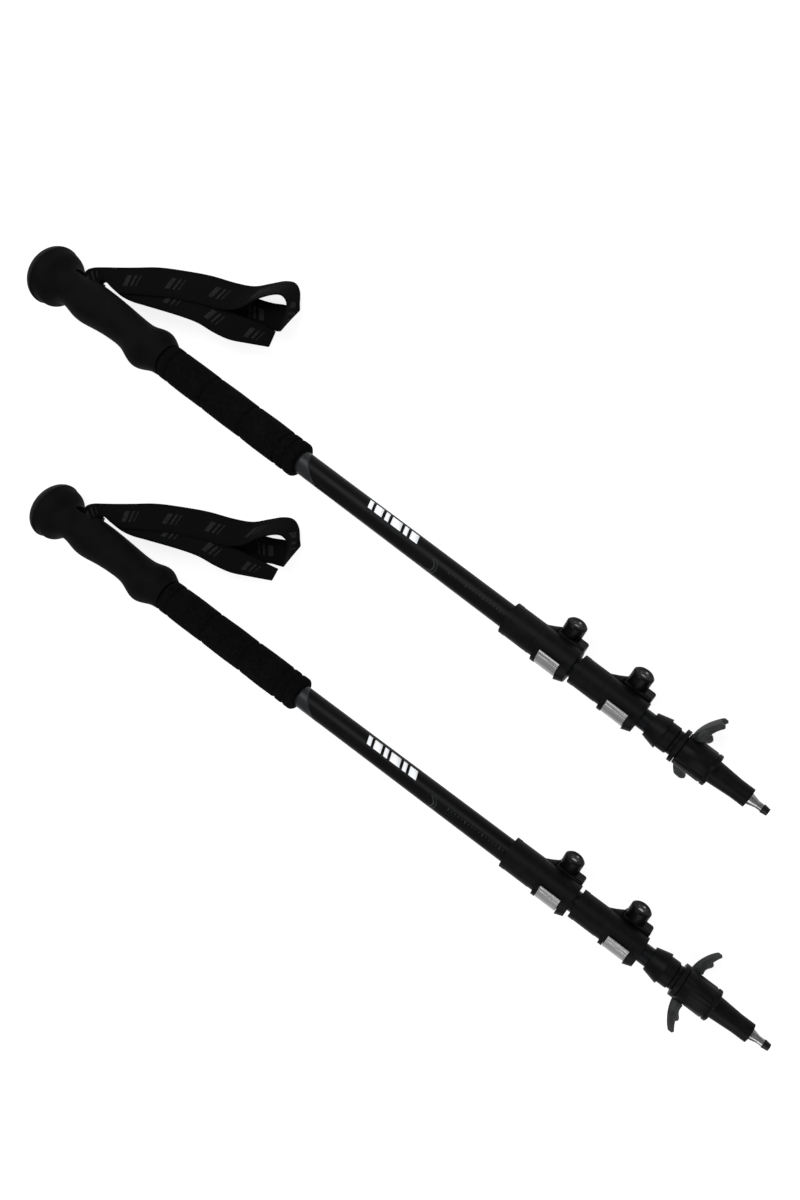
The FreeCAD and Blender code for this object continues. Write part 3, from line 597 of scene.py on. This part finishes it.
def make_ridges(side, lock):
    """Two fine rolled beads along the lever's upper lip."""
    points, faces = [], []
    start = LEVER_STATIONS[lock] + 0.1
    for degrees in (3.5, 10.5):
        angle = math.radians(LEVER_FROM + LOCK_ROLL[side] + degrees)
        base = len(points)
        for at in (start, start + 0.3, start + LEVER_WIDE - 0.3, start + LEVER_WIDE):
            size = 0.5 if start < at < start + LEVER_WIDE else 0.3
            for spot in range(12):
                turn = 2.0 * math.pi * spot / 12
                points.append((at, (LEVER_RADIUS[lock]) * math.cos(angle) + size * math.cos(turn),
                               (LEVER_RADIUS[lock]) * math.sin(angle) + size * math.sin(turn)))
        faces += [tuple(base + corner for corner in face) for face in ring_faces(4, 12)]
    piece(f"{side}_{lock}_lever_ridges", POLES[side], points, faces, f"{side}_{lock}_lever",
          FINISH["lever_metal"])


# ---------------------------------------------------------------- basket

GAP_CENTRE = {"left": 117.0, "right": 60.0}  # degrees round from +Y: the middle of the open side
GAP_HALF = 96.0
HUB_START, HUB_END, HUB_RADIUS, HUB_BORE = 635.4, 659.5, 11.6, 8.26
DOME_START, RIM_RADIUS, RIM_DROP = 636.0, 31.7, 9.0
LOBES = 12
DOME_STEPS = 192


def make_basket(side):
    """The dome: a convex shell open on one side, with radial ribs that end as teeth on the rim."""
    first = GAP_CENTRE[side] + GAP_HALF
    spread = 360.0 - 2.0 * GAP_HALF
    across = 15
    points = []
    for step in range(DOME_STEPS + 1):
        degrees = first + spread * step / DOME_STEPS
        angle = math.radians(degrees)
        phase = math.cos(math.radians((degrees - GAP_CENTRE[side]) * LOBES))
        tooth = max(0.0, -phase) ** 0.5
        rim = RIM_RADIUS - 1.9 * (1.0 - tooth)
        near_end = min(step, DOME_STEPS - step) / 10.0
        if near_end < 1.0:
            rim -= 2.5 * (1.0 - near_end) ** 2
        top, under = [], []
        for column in range(across):
            share = column / (across - 1)
            radius = HUB_RADIUS - 0.4 + (rim - HUB_RADIUS + 0.4) * share
            fall = max(0.0, (radius - HUB_RADIUS) / (RIM_RADIUS - HUB_RADIUS))
            skin_at = DOME_START + RIM_DROP * fall ** 1.9
            edge = 1.0 if 0 < column < across - 1 else 0.6
            rib = (2.3 + 0.9 * math.sin(math.pi * fall)) * tooth
            thick = 2.6 + 3.4 * (1.0 - fall) ** 2 + rib
            top.append((skin_at + 0.5 * (1.0 - edge), radius))
            under.append((skin_at + thick * edge, radius))
        for at, radius in top + under[::-1]:
            points.append((at, radius * math.cos(angle), radius * math.sin(angle)))
    dome = piece(f"{side}_basket_dome", POLES[side], points, ring_faces(DOME_STEPS + 1, 2 * across),
                 f"{side}_basket_ring", FINISH["basket_plastic"])
    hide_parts(f"{side}_basket")


HUB_PROFILE = [
    (HUB_START, HUB_BORE), (HUB_START, HUB_RADIUS - 0.6),
    (HUB_START + 0.6, HUB_RADIUS), (HUB_END - 4.2, HUB_RADIUS),
    (HUB_END - 3.8, HUB_RADIUS - 0.5), (HUB_END - 3.0, HUB_RADIUS - 0.5), (HUB_END - 2.6, HUB_RADIUS + 0.1),
    (HUB_END - 0.5, HUB_RADIUS + 0.1), (HUB_END, HUB_RADIUS - 0.5), (HUB_END, HUB_BORE),
]
HUB_AROUND = 96


def make_hub(side):
    """The hub's skirt with finger flats, and a raised rib along it in the middle of the gap."""
    points = []
    for index, (at, radius) in enumerate(HUB_PROFILE):
        skin = 0 < index < len(HUB_PROFILE) - 1
        for spot in range(HUB_AROUND):
            degrees = 360.0 * spot / HUB_AROUND
            away = abs((degrees - GAP_CENTRE[side] + 180.0) % 360.0 - 180.0)
            raised = radius
            if skin:
                raised += 1.5 * max(0.0, 1.0 - (away / 9.0) ** 4)
                raised -= 0.25 * max(0.0, math.cos(math.radians(degrees * 8)))
            points.append((at, raised * math.cos(math.radians(degrees)), raised * math.sin(math.radians(degrees))))
    faces = ring_faces(len(HUB_PROFILE), HUB_AROUND, closed_loop=True)
    piece(f"{side}_basket_hub", POLES[side], points, faces, f"{side}_basket_ring",
          FINISH["tip_plastic"])


for pole in SIDES:
    make_foam(pole)
    make_strap(pole)
    make_prints(pole)
    make_basket(pole)
    make_hub(pole)
    for lock_name in LOCKS:
        make_insert(pole, lock_name)
        make_shoulder(pole, lock_name)
        make_ridges(pole, lock_name)


# ---------------------------------------------------------------- floor, light and camera

FLOOR_REACH = 25.0


def make_floor():
    mesh = bpy.data.meshes.new("studio_floor")
    corners = [(x * FLOOR_REACH, y * FLOOR_REACH, 0) for x, y in ((-1, -1), (1, -1), (1, 1), (-1, 1))]
    mesh.from_pydata(corners, [], [(0, 1, 2, 3)])
    floor = bpy.data.objects.new("studio_floor", mesh)
    bpy.context.scene.collection.objects.link(floor)
    made = Finish("studio_floor")
    tone = made.noise(400.0, 2.0)
    colour = made.blend(tone, grey(0.2), grey(0.22))
    finish = made.done(colour, made.ranged(tone, 0.85, 0.9), made.bump(tone, 0.02, 0.1),
                       Specular_IOR_Level=0.0, Emission_Color=grey(1.0), Emission_Strength=0.85)
    floor.data.materials.append(finish)


def make_light(name, place, target, size, power):
    data = bpy.data.lights.new(name, "AREA")
    data.shape = "RECTANGLE"
    data.size, data.size_y = size
    data.energy = power
    lamp = bpy.data.objects.new(name, data)
    lamp.location = place
    lamp.rotation_euler = (Vector(target) - Vector(place)).to_track_quat("-Z", "Y").to_euler()
    bpy.context.scene.collection.objects.link(lamp)


CAMERA_FROM_POLE = Vector((0.62938, 0.20109, 0.64465))
CAMERA_FORWARD = Vector((-0.29206, -0.35145, -0.88949))
CAMERA_DOWN = Vector((0.56151, -0.81588, 0.13799))


def make_camera():
    data = bpy.data.cameras.new("camera")
    data.sensor_width = 36.0
    data.lens = 30.0
    data.clip_start = 0.01
    camera = bpy.data.objects.new("camera", data)
    back, up = -CAMERA_FORWARD, -CAMERA_DOWN
    camera.matrix_world = matrix_of(up.cross(back), up, back, POLES["left"].translation + CAMERA_FROM_POLE)
    bpy.context.scene.collection.objects.link(camera)
    bpy.context.scene.camera = camera


world = bpy.data.worlds.new("studio")
world.use_nodes = True
world.node_tree.nodes["Background"].inputs["Color"].default_value = (1.0, 1.0, 1.0, 1.0)
world.node_tree.nodes["Background"].inputs["Strength"].default_value = 0.6
bpy.context.scene.world = world
bpy.context.scene.view_settings.view_transform = "Standard"

make_floor()
make_light("key", (-0.6, 1.0, 1.5), (0.0, 0.0, 0.0), (1.4, 1.0), 26.0)
make_light("fill", (0.9, -0.9, 1.3), (0.0, 0.0, 0.0), (1.2, 1.2), 16.0)
make_camera()
